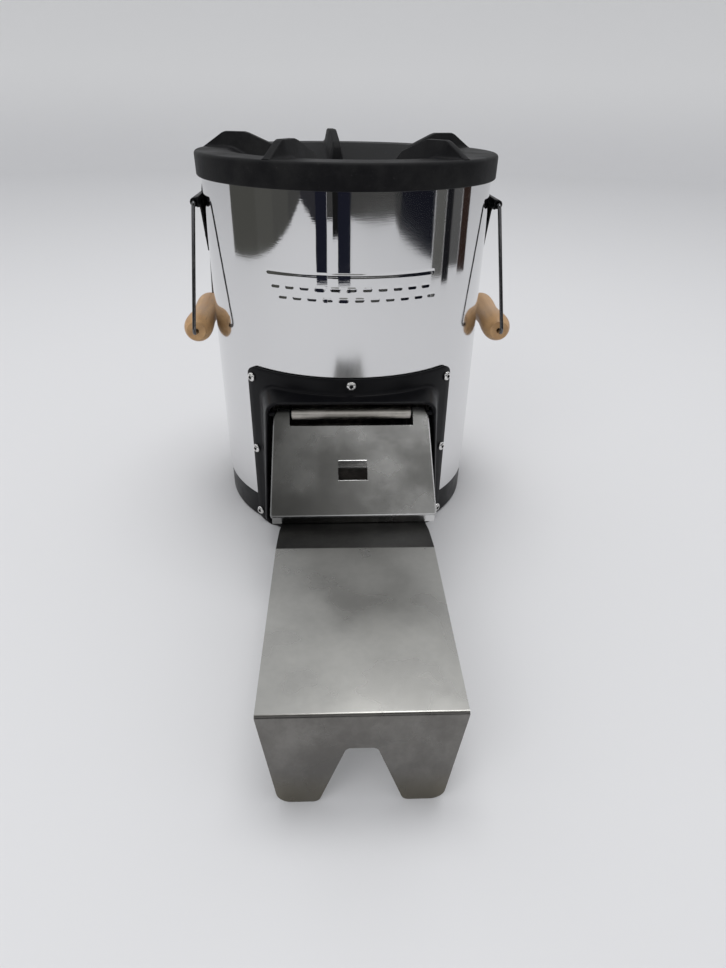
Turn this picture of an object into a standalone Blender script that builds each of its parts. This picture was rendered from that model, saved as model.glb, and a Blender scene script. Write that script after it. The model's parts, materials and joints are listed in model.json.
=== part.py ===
"""Wood-burning rocket stove: insulated round body, hinged feed door, pull-out fuel shelf, two bail handles.

Run in Blender 4.5 with: blender --background --python part.py
The object stands on Z = 0 with its centre line on Z. The feed opening faces -Y.
Shapes are drawn in millimetres and stored in metres.
"""
import math

import bmesh
import bpy
from mathutils import Matrix, Vector

# ---------------------------------------------------------------- driving dimensions, millimetres
BODY_RADIUS = 117.5
SHELL_WALL = 1.2
SHELL_TOP = 296.0
SHEET = 1.2
GAP = 0.3

BASE_RADIUS = 116.9
BASE_HEIGHT = 26.0
BASE_WALL = 1.9
COLLAR_HEIGHT = 2.6

RING_RADIUS = 121.25
RING_TOP = 302.0
RING_BOTTOM = 284.5
RIB_TOP = 313.3
RIB_COUNT = 5
RIB_FIRST_ANGLE = -118.7
FLUE_RADIUS = 51.0
CASTING_SCREW_RADIUS = 103.0
CASTING_SCREW_ANGLES = (-93.0, 51.0, 147.0)

TUNNEL_HALF_WIDTH = 62.0
TUNNEL_BOTTOM = 27.5
TUNNEL_TOP = 132.5
TUNNEL_FRONT = -117.0
TUNNEL_BACK = 57.0
TUNNEL_WALL = 1.5

FLANGE_RADIUS = 119.4
FLANGE_ANGLE = 44.5
BEZEL_FRONT = -129.0
BEZEL_TOP = 137.0
BEZEL_BOTTOM = 21.5

HINGE_Y = -124.0
HINGE_Z = 125.5
HINGE_PIN_RADIUS = 2.0
HINGE_TUBE_RADIUS = 4.5
HINGE_TUBE_HALF = 46.9
DOOR_SWING = 48.0
DOOR_LENGTH = 84.0
DOOR_FACE = 3.0
DOOR_HALF_WIDTH = 61.0
DOOR_FLANGE = 9.0
DOOR_BEND = 1.6
NOTCH_HALF_WIDTH = 48.3
WINDOW_HALF_WIDTH = 11.0

SHELF_TOP = 72.5
SHELF_HALF_WIDTH = 54.85
SHELF_FRONT = -367.4
SHELF_BEND = -228.5
SHELF_THICKNESS = 1.5
SHELF_YAW = -0.8
SHELF_YAW_Y = -190.0

BRACKET_LOW = 223.0
BRACKET_HIGH = 277.0
KNUCKLE_HALF = 31.5
KNUCKLE_RADIUS = 3.4
RIVET_HEIGHTS = {"low": 236.5, "high": 255.5}
BAIL_X = 121.3
BAIL_Z = 266.0
BAIL_DROP = 100.0
BAIL_TOP_HALF = 36.0
BAIL_HALF_SPAN = 54.5
WIRE_RADIUS = 1.5
GRIP_RADIUS = 12.0
GRIP_HALF_LENGTH = 45.0
GRIP_X = {-1.0: 129.6, 1.0: 131.6}

ROUND = 64
SMALL_ROUND = 16
MM = 0.001


# ---------------------------------------------------------------- drawing helpers
def material(name, colour, roughness, metallic):
    """A plain Principled material."""
    finish = bpy.data.materials.new(name)
    finish.use_nodes = True
    shader = finish.node_tree.nodes["Principled BSDF"]
    shader.inputs["Base Color"].default_value = (*colour, 1.0)
    shader.inputs["Roughness"].default_value = roughness
    shader.inputs["Metallic"].default_value = metallic
    finish.diffuse_color = (*colour, 1.0)
    return finish


def add_object(name, bm, finish=None, origin=(0.0, 0.0, 0.0), fix_normals=True):
    """Store a bmesh drawn in millimetres as an object whose own origin is at `origin`."""
    if fix_normals:
        bmesh.ops.recalc_face_normals(bm, faces=bm.faces)
    bmesh.ops.translate(bm, verts=bm.verts, vec=-Vector(origin))
    bmesh.ops.scale(bm, verts=bm.verts, vec=(MM, MM, MM))
    mesh = bpy.data.meshes.new(name)
    bm.to_mesh(mesh)
    bm.free()
    if finish is not None:
        mesh.materials.append(finish)
    mesh.shade_smooth()
    mesh.set_sharp_from_angle(angle=math.radians(32.0))
    thing = bpy.data.objects.new(name, mesh)
    bpy.context.scene.collection.objects.link(thing)
    thing.location = Vector(origin) * MM
    return thing


def add_cutter(name, bm):
    """An object that only cuts others."""
    cutter = add_object(name, bm)
    cutter.hide_render = True
    cutter.display_type = "WIRE"
    return cutter


def cut(target, cutter, operation="DIFFERENCE"):
    boolean = target.modifiers.new(cutter.name, "BOOLEAN")
    boolean.object = cutter
    boolean.operation = operation
    boolean.solver = "EXACT"


def skin_rings(bm, rings, close=False):
    """Join rings of equal length with quads. A ring of one vertex becomes a fan."""
    pairs = list(zip(rings, rings[1:]))
    if close:
        pairs.append((rings[-1], rings[0]))
    for low, high in pairs:
        count = max(len(low), len(high))
        for i in range(count):
            j = (i + 1) % count
            corners = [low[i % len(low)], low[j % len(low)], high[j % len(high)], high[i % len(high)]]
            corners = list(dict.fromkeys(corners))
            if len(corners) > 2:
                bm.faces.new(corners)


def turned(profile, segments=ROUND):
    """Spin a closed (radius, height) outline about Z."""
    bm = bmesh.new()
    rings = []
    for radius, height in profile:
        if radius < 0.001:
            rings.append([bm.verts.new((0.0, 0.0, height))])
            continue
        ring = []
        for i in range(segments):
            angle = 2.0 * math.pi * i / segments
            ring.append(bm.verts.new((radius * math.cos(angle), radius * math.sin(angle), height)))
        rings.append(ring)
    skin_rings(bm, rings, close=True)
    return bm


def axis_point(axis, u, v, w):
    """A point whose place along `axis` is w; u and v are the other two, in X, Y, Z order."""
    return {"X": (w, u, v), "Y": (u, w, v), "Z": (u, v, w)}[axis]


def prism(outline, axis, low, high, bm=None):
    """Extrude a closed outline along an axis."""
    if bm is None:
        bm = bmesh.new()
    bottom = [bm.verts.new(axis_point(axis, u, v, low)) for u, v in outline]
    top = [bm.verts.new(axis_point(axis, u, v, high)) for u, v in outline]
    bm.faces.new(bottom)
    bm.faces.new(top)
    skin_rings(bm, [bottom, top])
    return bm


def box(x_range, y_range, z_range, bm=None):
    (x0, x1), (y0, y1) = x_range, y_range
    return prism([(x0, y0), (x1, y0), (x1, y1), (x0, y1)], "Z", *z_range, bm=bm)


def circle(centre, radius, segments=SMALL_ROUND, start=0.0, sweep=360.0):
    """Points along a circle or an arc, in degrees. An arc includes its end."""
    count = segments + 1 if abs(sweep) < 360.0 else segments
    points = []
    for i in range(count):
        angle = math.radians(start + sweep * i / segments)
        points.append((centre[0] + radius * math.cos(angle), centre[1] + radius * math.sin(angle)))
    return points


def rod(axis, centre, radius, low, high, segments=SMALL_ROUND, bm=None):
    return prism(circle(centre, radius, segments), axis, low, high, bm=bm)


def rounded(points, radii, closed=False, steps=5):
    """Replace the corners of a polyline by arcs. A radius of 0 keeps the corner."""
    result = []
    last = len(points) - 1
    for i, (point, radius) in enumerate(zip(points, radii)):
        if radius <= 0.0 or (not closed and i in (0, last)):
            result.append(point)
            continue
        here = Vector(point)
        before = (Vector(points[i - 1]) - here).normalized()
        after = (Vector(points[(i + 1) % len(points)]) - here).normalized()
        half = before.angle(after) / 2.0
        centre = here + (before + after).normalized() * (radius / math.sin(half))
        first = here + before * (radius / math.tan(half)) - centre
        turn = first.angle_signed(here + after * (radius / math.tan(half)) - centre)
        for k in range(steps + 1):
            spoke = first.copy()
            spoke.rotate(Matrix.Rotation(-turn * k / steps, 2))
            result.append(tuple(centre + spoke))
    return result


def offset_path(path, distance):
    """The same open path moved to its right by a distance, with mitred corners."""
    moved = []
    for i, point in enumerate(path):
        here = Vector(point)
        normals = []
        if i > 0:
            step = (here - Vector(path[i - 1])).normalized()
            normals.append(Vector((step.y, -step.x)))
        if i < len(path) - 1:
            step = (Vector(path[i + 1]) - here).normalized()
            normals.append(Vector((step.y, -step.x)))
        normal = sum(normals, Vector((0.0, 0.0))).normalized()
        moved.append(tuple(here + normal * (distance / normal.dot(normals[0]))))
    return moved


def joined(parts):
    """Put several bmeshes into one."""
    bm = bmesh.new()
    for part in parts:
        scratch = bpy.data.meshes.new("scratch")
        part.to_mesh(scratch)
        part.free()
        bm.from_mesh(scratch)
        bpy.data.meshes.remove(scratch)
    return bm


def around_z(bm, angle):
    """Turn a bmesh about Z, in degrees."""
    bmesh.ops.rotate(bm, verts=bm.verts, cent=(0, 0, 0), matrix=Matrix.Rotation(math.radians(angle), 3, "Z"))
    return bm


# ---------------------------------------------------------------- body
def base_pan(finish, screws):
    """Black pan that closes the bottom, with a collar that centres the shell."""
    inner = BASE_RADIUS - BASE_WALL
    collar = BODY_RADIUS - SHELL_WALL - 0.5
    top = BASE_HEIGHT + COLLAR_HEIGHT
    profile = [(0.0, 0.0), (BASE_RADIUS - 1.5, 0.0), (BASE_RADIUS, 1.5), (BASE_RADIUS, BASE_HEIGHT),
               (collar, BASE_HEIGHT), (collar, top), (inner, top), (inner, BASE_WALL), (0.0, BASE_WALL)]
    pan = add_object("base_pan", turned(profile), finish)
    gate = box((-72.0, 72.0), (-130.0, 0.0), (BASE_HEIGHT + 0.01, BASE_HEIGHT + 12.0))
    cut(pan, add_cutter("cutter_pan_gate", gate))
    cut(pan, screws)
    return pan


def outer_shell(finish, holes):
    """Polished tube with a gate for the feed opening, open at its foot."""
    inner = BODY_RADIUS - SHELL_WALL
    foot = BASE_HEIGHT + GAP
    profile = [(inner, foot), (BODY_RADIUS, foot), (BODY_RADIUS, SHELL_TOP), (inner, SHELL_TOP)]
    shell = add_object("outer_shell", turned(profile), finish)
    gate = box((-71.0, 71.0), (-130.0, 0.0), (foot - 5.0, BEZEL_TOP - 0.5))
    cut(shell, add_cutter("cutter_shell_gate", gate))
    cut(shell, holes)
    return shell


def chimney_tube(finish):
    outer = FLUE_RADIUS + 1.5
    low, high = TUNNEL_TOP + GAP, RING_TOP - 24.4
    profile = [(FLUE_RADIUS, low), (outer, low), (outer, high), (FLUE_RADIUS, high)]
    return add_object("chimney_tube", turned(profile, 64), finish)


def feed_tunnel(finish):
    """Square steel duct, closed behind, with the hole that the chimney stands over."""
    half, wall = TUNNEL_HALF_WIDTH, TUNNEL_WALL
    duct = add_object("feed_tunnel", box((-half, half), (TUNNEL_FRONT, TUNNEL_BACK), (TUNNEL_BOTTOM, TUNNEL_TOP)),
                      finish)
    inside = box((wall - half, half - wall), (TUNNEL_FRONT - 5.0, TUNNEL_BACK - wall),
                 (TUNNEL_BOTTOM + wall, TUNNEL_TOP - wall))
    cut(duct, add_cutter("cutter_duct_inside", inside))
    cut(duct, add_cutter("cutter_duct_flue", rod("Z", (0, 0), FLUE_RADIUS, TUNNEL_TOP - 20.0, TUNNEL_TOP + 5.0, 64)))
    return duct


def upper_insulation(finish):
    inner, outer = FLUE_RADIUS + 2.2, BODY_RADIUS - SHELL_WALL - 0.9
    low, high = TUNNEL_TOP + 1.6, RING_TOP - 26.0
    profile = [(inner, low), (outer, low), (outer, high), (inner, high)]
    return add_object("upper_insulation", turned(profile, 64), finish)


def lower_insulation(finish):
    """Block under and beside the feed tunnel."""
    radius = BASE_RADIUS - BASE_WALL - 0.6
    low, high = BASE_WALL + GAP, TUNNEL_TOP + 1.0
    block = add_object("lower_insulation", turned([(0.0, low), (radius, low), (radius, high), (0.0, high)], 64),
                       finish)
    side = TUNNEL_HALF_WIDTH + 0.5
    room = box((-side, side), (-130.0, TUNNEL_BACK + 0.5), (TUNNEL_BOTTOM - GAP, high + 5.0))
    cut(block, add_cutter("cutter_tunnel_room", room))
    front = box((-72.5, 72.5), (-130.0, -97.0), (BASE_HEIGHT - 5.0, high + 5.0))
    cut(block, add_cutter("cutter_insulation_front", front))
    return block


def top_collar(finish, holes):
    """Flat ring under the casting that takes its screws."""
    inner, outer = 88.0, BODY_RADIUS - SHELL_WALL - 0.3
    low = RING_TOP - 11.0
    profile = [(inner, low), (outer, low), (outer, low + 2.0), (inner, low + 2.0)]
    collar = add_object("top_collar", turned(profile), finish)
    cut(collar, holes)
    return collar


# ---------------------------------------------------------------- pot support casting
def pot_rib(angle):
    """One rib: a plate on a radius, thinner at its top, that runs down into the flue mouth."""
    outline = [(119.6, 300.6), (119.6, RING_TOP + 0.4), (103.0, RIB_TOP - 0.9), (101.0, RIB_TOP), (84.0, RIB_TOP),
               (81.5, RIB_TOP - 0.7), (60.5, 304.6), (56.0, 299.5), (53.6, 291.0), (53.2, 284.0), (58.0, 284.0),
               (92.0, 299.0)]
    bm = bmesh.new()
    rows = []
    for side in (-1.0, 1.0):
        row = []
        for radius, height in outline:
            half = 3.1 + 0.24 * (RIB_TOP - height)
            row.append(bm.verts.new((radius, side * half, height)))
        rows.append(row)
    bm.faces.new(rows[0])
    bm.faces.new(rows[1])
    skin_rings(bm, rows)
    return around_z(bm, angle)


def pot_support_casting(finish, holes):
    """Cast-iron top: rim, dish, flue mouth and five radial ribs in one piece."""
    skirt = BODY_RADIUS + 0.7
    rim_edge = circle((RING_RADIUS - 2.5, RING_TOP - 2.5), 2.5, 4, 0.0, 90.0)
    foot_edge = circle((RING_RADIUS - 1.2, RING_BOTTOM + 1.2), 1.2, 3, -90.0, 90.0)
    profile = [(skirt, RING_BOTTOM)] + foot_edge + rim_edge
    profile += [(96.0, RING_TOP), (92.5, 301.2), (88.0, 299.0), (60.0, 287.0), (54.0, 284.6),
                (51.8, 283.2), (FLUE_RADIUS, 281.0), (FLUE_RADIUS, 278.0), (55.0, 278.0), (58.5, 281.0),
                (93.0, 296.6), (skirt - 1.5, 297.0), (skirt, 295.5 + 1.0)]
    casting = add_object("pot_support_casting", turned(profile), finish)
    for i in range(RIB_COUNT):
        rib = add_cutter(f"rib_{i + 1}", pot_rib(RIB_FIRST_ANGLE + i * 360.0 / RIB_COUNT))
        cut(casting, rib, "UNION")
    cut(casting, holes)
    return casting


# ---------------------------------------------------------------- front bezel
def frame_loop(half_top, half_bottom, low, high, corner, depth):
    """Closed loop of points round a frame, anticlockwise from the front, with a fixed point count.

    `depth` gives y from x, so that a loop can lie on the round body or in a plane.
    """
    corner_steps, long_steps, side_steps = 4, 16, 4
    corners = [(-half_bottom, low), (half_bottom, low), (half_top, high), (-half_top, high)]
    path = rounded(corners, [min(corner, 8.0), min(corner, 8.0), corner, corner], closed=True, steps=corner_steps)
    arcs = [path[i * (corner_steps + 1):(i + 1) * (corner_steps + 1)] for i in range(4)]
    loop = []
    for i, arc in enumerate(arcs):
        loop += arc
        start, end = Vector(arc[-1]), Vector(arcs[(i + 1) % 4][0])
        steps = long_steps if i % 2 == 0 else side_steps
        for k in range(1, steps):
            loop.append(tuple(start.lerp(end, k / steps)))
    return [(x, depth(x), z) for x, z in loop]


def on_body(radius):
    return lambda x: -math.sqrt(radius * radius - x * x)


def in_plane(y):
    return lambda x: y


def front_bezel(finish, holes, pin_holes):
    """Pressed frame: a flange that hugs the body, four flared walls, a rim and a short throat."""
    flange = FLANGE_RADIUS * math.sin(math.radians(FLANGE_ANGLE))
    front = BEZEL_FRONT
    throat = TUNNEL_HALF_WIDTH + 0.9
    loops = [
        frame_loop(flange, flange, 0.8, 152.0, 8.0, on_body(FLANGE_RADIUS)),
        frame_loop(74.0, 76.0, 15.6, 140.0, 14.0, on_body(FLANGE_RADIUS)),
        frame_loop(73.0, 75.6, 16.6, 138.8, 13.0, on_body(FLANGE_RADIUS + 0.8)),
        frame_loop(66.4, 73.4, BEZEL_BOTTOM + 0.4, BEZEL_TOP - 0.4, 10.0, in_plane(front + 1.6)),
        frame_loop(65.4, 72.6, BEZEL_BOTTOM + 1.2, BEZEL_TOP - 1.1, 9.5, in_plane(front)),
        frame_loop(64.1, 71.2, BEZEL_BOTTOM + 2.6, BEZEL_TOP - 2.5, 8.6, in_plane(front + 1.6)),
        frame_loop(throat, throat, TUNNEL_BOTTOM - 0.2, TUNNEL_TOP + 0.9, 3.0, in_plane(TUNNEL_FRONT - 0.8)),
    ]
    bm = bmesh.new()
    rings = [[bm.verts.new(point) for point in loop] for loop in loops]
    skin_rings(bm, rings)
    bezel = add_object("front_bezel", bm, finish, fix_normals=False)
    sheet = bezel.modifiers.new("sheet", "SOLIDIFY")
    sheet.thickness = 1.0 * MM
    sheet.offset = -1.0
    sheet.use_even_offset = True
    cut(bezel, holes)
    cut(bezel, pin_holes)
    return bezel


# ---------------------------------------------------------------- radial fasteners
BEZEL_SCREWS = {
    "bezel_screw_top_left": (-42.0, 142.5),
    "bezel_screw_top_middle": (0.0, 146.6),
    "bezel_screw_top_right": (42.0, 142.5),
    "bezel_screw_mid_left": (-42.4, 76.5),
    "bezel_screw_mid_right": (42.4, 76.5),
    "bezel_screw_low_left": (-43.0, 11.0),
    "bezel_screw_low_right": (43.0, 11.0),
}
BRACKET_RIVETS = {f"{label}_bracket_rivet_{row}": (angle, height)
                  for label, angle in (("left", -90.0), ("right", 90.0)) for row, height in RIVET_HEIGHTS.items()}


def point_out(bm, angle, height):
    """Turn a shape drawn along +Z so that it points out of the body at an angle from the front."""
    bmesh.ops.rotate(bm, verts=bm.verts, cent=(0, 0, 0), matrix=Matrix.Rotation(math.radians(90.0), 3, "X"))
    around_z(bm, angle)
    bmesh.ops.translate(bm, verts=bm.verts, vec=(0.0, 0.0, height))
    return bm


def radial_fastener(name, angle, height, seat, head_radius, head_height, socket, finish):
    """Round-headed screw or rivet whose head sits on the radius `seat`."""
    shank = 1.6
    inside = BODY_RADIUS - SHELL_WALL - 0.2
    dome = [(head_radius * math.cos(math.radians(a)), seat + 0.5 + head_height * math.sin(math.radians(a)))
            for a in (0.0, 50.0)]
    top = seat + 0.5 + head_height
    profile = [(0.0, inside), (shank, inside), (shank, seat), (head_radius, seat)] + dome
    profile += [(socket, top), (socket * 0.92, top - 0.9), (0.0, top - 0.9)]
    bm = point_out(turned(profile, 12), angle, height)
    return add_object(name, bm, finish)


def radial_holes(name, places, radius):
    """One cutter with a short rod at each place."""
    drills = [point_out(rod("Z", (0, 0), radius, 100.0, 140.0, 10), angle, height) for angle, height in places]
    return add_cutter(name, joined(drills))


def on_screw_circle(profile, angle):
    bm = turned(profile, 12)
    bmesh.ops.translate(bm, verts=bm.verts, vec=(CASTING_SCREW_RADIUS, 0.0, 0.0))
    return around_z(bm, angle)


def casting_screw(index, angle, finish):
    """Countersunk screw that ties the casting to the collar."""
    top = RING_TOP - 0.35
    profile = [(0.0, 289.0), (1.7, 289.0), (1.7, top - 2.2), (3.7, top), (1.3, top), (1.2, top - 1.2), (0.0, top - 1.2)]
    return add_object(f"casting_screw_{index}", on_screw_circle(profile, angle), finish)


def casting_screw_holes():
    profile = [(0.0, 280.0), (2.1, 280.0), (2.1, RING_TOP - 2.3), (4.4, RING_TOP + 0.1), (4.4, RING_TOP + 3.0),
               (0.0, RING_TOP + 3.0)]
    drills = [on_screw_circle(profile, angle) for angle in CASTING_SCREW_ANGLES]
    return add_cutter("cutter_casting_screws", joined(drills))


# ---------------------------------------------------------------- door
def hinge_pin(finish):
    return add_object("hinge_pin", rod("X", (HINGE_Y, HINGE_Z), HINGE_PIN_RADIUS, -65.6, 65.6, 20), finish)


def hinge_tube(finish):
    bm = bmesh.new()
    half = HINGE_TUBE_HALF
    rings = []
    for radius, x in ((HINGE_PIN_RADIUS + GAP, -half), (HINGE_TUBE_RADIUS - 0.5, -half), (HINGE_TUBE_RADIUS, 0.5 - half),
                      (HINGE_TUBE_RADIUS, half - 0.5), (HINGE_TUBE_RADIUS - 0.5, half),
                      (HINGE_PIN_RADIUS + GAP, half)):
        rings.append([bm.verts.new((x, y, z)) for y, z in circle((HINGE_Y, HINGE_Z), radius, 24)])
    skin_rings(bm, rings, close=True)
    return add_object("hinge_tube", bm, finish)


def door(finish, pin_holes):
    """Bent sheet: ears round the hinge, a notch for the tube, a finger window with its tab, side flanges, a lip.

    Drawn hanging straight down from the hinge, then swung out to where it rests on the shelf.
    """
    rows = [(-DOOR_FACE, 3.6), (-DOOR_FACE, -4.5), (-DOOR_FACE, -11.5), (-DOOR_FACE, -39.0), (-DOOR_FACE, -56.0)]
    swing = math.radians(DOOR_SWING)
    lip_end = Vector((-DOOR_FACE, -DOOR_LENGTH)) + 6.0 * Vector((math.sin(swing), -math.cos(swing)))
    bend = rounded([rows[-1], (-DOOR_FACE, -DOOR_LENGTH), tuple(lip_end)], [0.0, 3.2, 0.0], steps=5)
    rows += bend[1:]
    edge, corner = DOOR_HALF_WIDTH, DOOR_BEND
    columns = [(-edge, DOOR_FLANGE), (-edge, corner), (-edge + 0.3 * corner, 0.3 * corner), (-edge + corner, 0.0),
               (-NOTCH_HALF_WIDTH, 0.0), (-WINDOW_HALF_WIDTH, 0.0)]
    columns += [(-x, depth) for x, depth in reversed(columns)]
    last_flange_row = len(rows) - len(bend) + 1
    bm = bmesh.new()
    grid = []
    for x, depth in columns:
        line = []
        for row, (y, z) in enumerate(rows):
            outer = abs(x) > 50.0
            spread = 1.5 * min(1.0, -z / DOOR_LENGTH) if outer else 0.0
            chamfer = -2.2 if outer and row == 0 else 0.0
            line.append(bm.verts.new((math.copysign(abs(x) + spread + chamfer, x), y + depth, z)))
        grid.append(line)
    for c in range(len(columns) - 1):
        in_flange = c < 3 or c > len(columns) - 5
        for r in range(len(rows) - 1):
            in_notch = r < 2 and 3 < c < 7
            in_window = r == 3 and c == 5
            past_flange = in_flange and r >= last_flange_row
            if in_notch or in_window or past_flange:
                continue
            bm.faces.new([grid[c][r + 1], grid[c + 1][r + 1], grid[c + 1][r], grid[c][r]])
    tab = rounded([(-DOOR_FACE, -30.0), (-DOOR_FACE, -39.0 - 1.6), (-DOOR_FACE - 6.4, -39.0 - 8.6)], [0.0, 2.4, 0.0],
                  steps=4)
    left, right = grid[5][3], grid[6][3]
    for y, z in tab[2:]:
        next_left = bm.verts.new((-WINDOW_HALF_WIDTH, y, z))
        next_right = bm.verts.new((WINDOW_HALF_WIDTH, y, z))
        bm.faces.new([next_left, next_right, right, left])
        left, right = next_left, next_right
    panel = add_object("door_panel", bm, finish, fix_normals=False)
    sheet = panel.modifiers.new("sheet", "SOLIDIFY")
    sheet.thickness = SHEET * MM
    sheet.offset = -1.0
    sheet.use_even_offset = True
    cut(panel, pin_holes)
    panel.location = (0.0, HINGE_Y * MM, HINGE_Z * MM)
    panel.rotation_euler = (-swing, 0.0, 0.0)
    return panel


# ---------------------------------------------------------------- fuel shelf
def askew(bm):
    """The shelf lies a little out of square with the body, as it was pushed in by hand."""
    bmesh.ops.rotate(bm, verts=bm.verts, cent=(0.0, SHELF_YAW_Y, 0.0),
                     matrix=Matrix.Rotation(math.radians(SHELF_YAW), 3, "Z"))
    return bm


def fuel_shelf(finish):
    """One bent sheet: legs in front, flat top, and a tongue that slopes down to the floor of the feed tunnel."""
    half, tongue_end = SHELF_HALF_WIDTH, -75.5
    top = [(SHELF_FRONT, 0.0), (SHELF_FRONT, SHELF_TOP), (SHELF_BEND, SHELF_TOP), (-150.0, 58.0), (tongue_end, 31.2)]
    path = rounded(top, [0.0, 2.2, 6.0, 20.0, 0.0], steps=5)
    outline = path + list(reversed(offset_path(path, SHELF_THICKNESS)))
    shelf = add_object("fuel_shelf", askew(prism(outline, "X", -half, half)), finish)
    leg = [(-half, 71.0), (-46.2, 0.0), (-23.8, 0.0), (-8.2, 46.4)]
    leg_line = leg + [(-x, z) for x, z in reversed(leg)]
    leg_line = rounded(leg_line, [0.0, 8.5, 4.5, 3.5, 3.5, 4.5, 8.5, 0.0], steps=6)
    below = leg_line + [(60.0, 70.0), (60.0, -6.0), (-60.0, -6.0), (-60.0, 70.0)]
    cut(shelf, add_cutter("cutter_shelf_legs", askew(prism(below, "Y", SHELF_FRONT - 8.0, SHELF_FRONT + 8.0))))
    taper_start = -202.0
    tongue = [(-half - 0.05, taper_start), (-52.5, -172.0), (-51.0, tongue_end + 0.5)]
    tongue_line = tongue + [(-x, y) for x, y in reversed(tongue)]
    tongue_line = rounded(tongue_line, [0.0, 10.0, 9.0, 9.0, 10.0, 0.0], steps=5)
    beyond = tongue_line + [(62.0, taper_start), (62.0, -60.0), (-62.0, -60.0), (-62.0, taper_start)]
    cut(shelf, add_cutter("cutter_shelf_tongue", askew(prism(beyond, "Z", 20.0, 80.0))))
    return shelf


# ---------------------------------------------------------------- handles
def handle_bracket(name, side, finish):
    """Flat pointed plate on the side of the body whose knuckle runs round the wire."""
    back, front = BODY_RADIUS + 0.5, BODY_RADIUS + 1.9
    half, round_wire = KNUCKLE_HALF, KNUCKLE_RADIUS
    eye = circle((BAIL_X, BAIL_Z), round_wire, 10, -90.0, 180.0)
    outline = [(back, BRACKET_LOW), (front, BRACKET_LOW), (front, BAIL_Z - round_wire)] + eye
    outline += [(front, BAIL_Z + round_wire), (front, BRACKET_HIGH), (back, BRACKET_HIGH)]
    outline = [(side * x, z) for x, z in outline]
    bracket = add_object(name, prism(outline, "Y", -half, half), finish)
    bore = rod("Y", (side * BAIL_X, BAIL_Z), WIRE_RADIUS + 0.5, -half - 5.0, half + 5.0, 20)
    cut(bracket, add_cutter(f"cutter_{name}_bore", bore))
    edge, low, high = half + 2.0, BAIL_Z - round_wire - 0.4, BAIL_Z + round_wire + 0.3
    above = [(-edge, high), (-7.0, high + 0.7), (0.0, BRACKET_HIGH - 0.6), (7.0, high + 0.7), (edge, high),
             (edge, BRACKET_HIGH + 5.0), (-edge, BRACKET_HIGH + 5.0)]
    below = [(-edge, low), (-22.0, low), (-19.0, low - 3.5), (-4.0, BRACKET_LOW + 0.4), (4.0, BRACKET_LOW + 0.4),
             (19.0, low - 3.5), (22.0, low), (edge, low), (edge, BRACKET_LOW - 5.0), (-edge, BRACKET_LOW - 5.0)]
    for place, shape in (("above", above), ("below", below)):
        room = prism(shape, "X", side * 112.0, side * 130.0)
        cut(bracket, add_cutter(f"cutter_{name}_{place}", room))
    holes = radial_holes(f"cutter_{name}_rivets", [(side * 90.0, z) for z in RIVET_HEIGHTS.values()], 2.0)
    cut(bracket, holes)
    return bracket


def grip_centre(side):
    """The grips hang close to the body, so the bails lean out by a few degrees."""
    lean = math.asin((GRIP_X[side] - BAIL_X) / BAIL_DROP)
    return Vector((side * GRIP_X[side], 0.0, BAIL_Z - BAIL_DROP * math.cos(lean)))


def wire_bail(name, side, finish):
    """Bent wire: through the bracket's eye, down two legs, and into both ends of the grip."""
    inside = GRIP_HALF_LENGTH - 14.0
    flat = [(-inside, BAIL_DROP), (-BAIL_HALF_SPAN, BAIL_DROP), (-BAIL_TOP_HALF, 0.0), (BAIL_TOP_HALF, 0.0),
            (BAIL_HALF_SPAN, BAIL_DROP), (inside, BAIL_DROP)]
    flat = rounded(flat, [0.0, 4.0, 4.0, 4.0, 4.0, 0.0], steps=4)
    pivot = Vector((side * BAIL_X, 0.0, BAIL_Z))
    down = (grip_centre(side) - pivot) / BAIL_DROP
    across = Vector((0.0, 1.0, 0.0))
    normal = across.cross(down)
    points = [pivot + across * u + down * v for u, v in flat]
    bm = bmesh.new()
    rings = []
    for i, point in enumerate(points):
        before = points[max(i - 1, 0)]
        after = points[min(i + 1, len(points) - 1)]
        tangent = (after - before).normalized()
        width = tangent.cross(normal)
        ring = []
        for u, v in circle((0.0, 0.0), WIRE_RADIUS, 8):
            ring.append(bm.verts.new(point + normal * u + width * v))
        rings.append(ring)
    skin_rings(bm, rings)
    bm.faces.new(rings[0])
    bm.faces.new(rings[-1])
    return add_object(name, bm, finish, origin=pivot)


def turned_grip(name, side, finish):
    """Wooden grip turned with a bulge near each end and a slim waist, bored for the wire."""
    half, bore = GRIP_HALF_LENGTH, WIRE_RADIUS + 0.5
    stations = 14
    skin = []
    for i in range(stations + 1):
        along = -1.0 + 2.0 * i / stations
        bulge = GRIP_RADIUS - 1.5 * math.cos(math.pi * min(abs(along) / 0.68, 1.0) * 0.5) ** 2
        end = max(0.0, (abs(along) - 0.68) / 0.32)
        skin.append((bulge - 4.2 * end ** 2.4, half * along))
    profile = [(bore, -half)] + skin + [(bore, half)]
    bm = turned(profile, 24)
    bmesh.ops.rotate(bm, verts=bm.verts, cent=(0, 0, 0), matrix=Matrix.Rotation(math.radians(90.0), 3, "X"))
    centre = grip_centre(side)
    bmesh.ops.translate(bm, verts=bm.verts, vec=centre)
    return add_object(name, bm, finish, origin=centre)


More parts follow.
